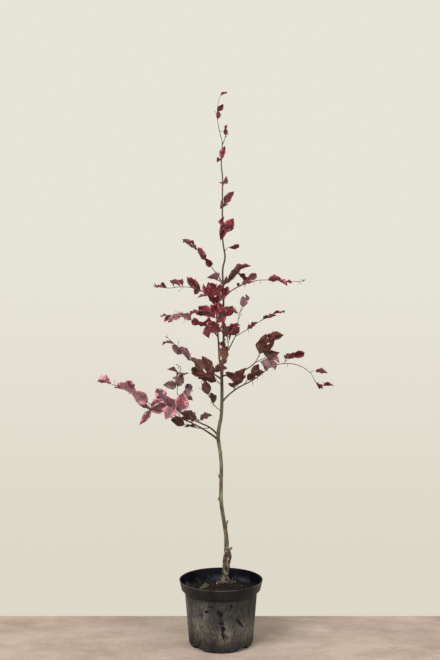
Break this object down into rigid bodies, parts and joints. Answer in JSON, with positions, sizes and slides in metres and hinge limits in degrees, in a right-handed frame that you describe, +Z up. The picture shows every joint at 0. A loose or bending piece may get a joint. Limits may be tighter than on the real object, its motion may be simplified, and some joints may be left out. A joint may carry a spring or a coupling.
{
  "type": "young tricolor European beech in a nursery pot",
  "caption": "Slender potted young beech: a tall weaving leader, thin side boughs and sprays of purple, rose-edged leaves over a round black pot that stands on its flat foot.",
  "frame": {"origin": "centre of the pot's flat underside", "axes": "+Z up along the pot's axis, +X to the viewer's right, +Y away from the viewer, so -Y is the front of the plant"},
  "size_m": [0.7747, 0.3987, 1.858],
  "materials": {
    "pot": "dusty satin black",
    "compost": "rough",
    "bark": "smooth grey-green bark",
    "rose_leaves": "leaf",
    "mauve_leaves": "leaf",
    "crimson_leaves": "leaf",
    "dark_leaves": "leaf",
    "bronze_leaves": "withered leaf"
  },
  "bodies": {
    "root": {"pot": "pot", "compost": "compost", "trunk": "bark", "low_left_bough": "bark", "low_left_back_bough": "bark", "low_left_upright": "bark", "mid_left_bough": "bark", "left_stem": "bark", "crimson_bough": "bark", "left_stem_side_bough": "bark", "upper_left_bough": "bark", "upper_right_bough": "bark", "right_fork_bough": "bark", "mid_right_bough": "bark", "low_right_bough": "bark", "low_right_outer_bough": "bark", "far_left_spray": "rose_leaves", "hanging_left_spray": "rose_leaves", "rose_spray": "rose_leaves", "upright_left_spray": "mauve_leaves", "mauve_spray": "mauve_leaves", "low_left_under_spray": "dark_leaves", "inner_left_spray": "dark_leaves", "left_twig_spray": "dark_leaves", "mid_left_spray": "mauve_leaves", "big_left_spray": "dark_leaves", "crossing_spray": "dark_leaves", "crimson_tip_spray": "crimson_leaves", "crimson_side_spray": "crimson_leaves", "crimson_spray": "crimson_leaves", "left_red_spray": "crimson_leaves", "left_tip_spray": "rose_leaves", "left_under_spray": "crimson_leaves", "upper_left_spray": "crimson_leaves", "upper_left_leaf_spray": "mauve_leaves", "right_crown_spray": "dark_leaves", "leader_low_spray": "crimson_leaves", "leader_mid_spray": "crimson_leaves", "leader_high_spray": "crimson_leaves", "leader_upper_spray": "crimson_leaves", "leader_top_spray": "crimson_leaves", "leader_twig_spray": "crimson_leaves", "leader_tip_spray": "crimson_leaves", "upper_right_tip_spray": "crimson_leaves", "upper_right_spray": "crimson_leaves", "front_crimson_spray": "crimson_leaves", "right_red_spray": "crimson_leaves", "right_deep_spray": "crimson_leaves", "right_upright_spray": "mauve_leaves", "right_arch_spray": "crimson_leaves", "withered_spray": "bronze_leaves", "dark_right_spray": "dark_leaves", "mid_right_spray": "mauve_leaves", "right_inner_spray": "dark_leaves", "low_right_spray": "dark_leaves", "low_right_outer_spray": "crimson_leaves", "low_right_bend_spray": "crimson_leaves", "low_right_tip_spray": "crimson_leaves"}
  },
  "joints": []
}
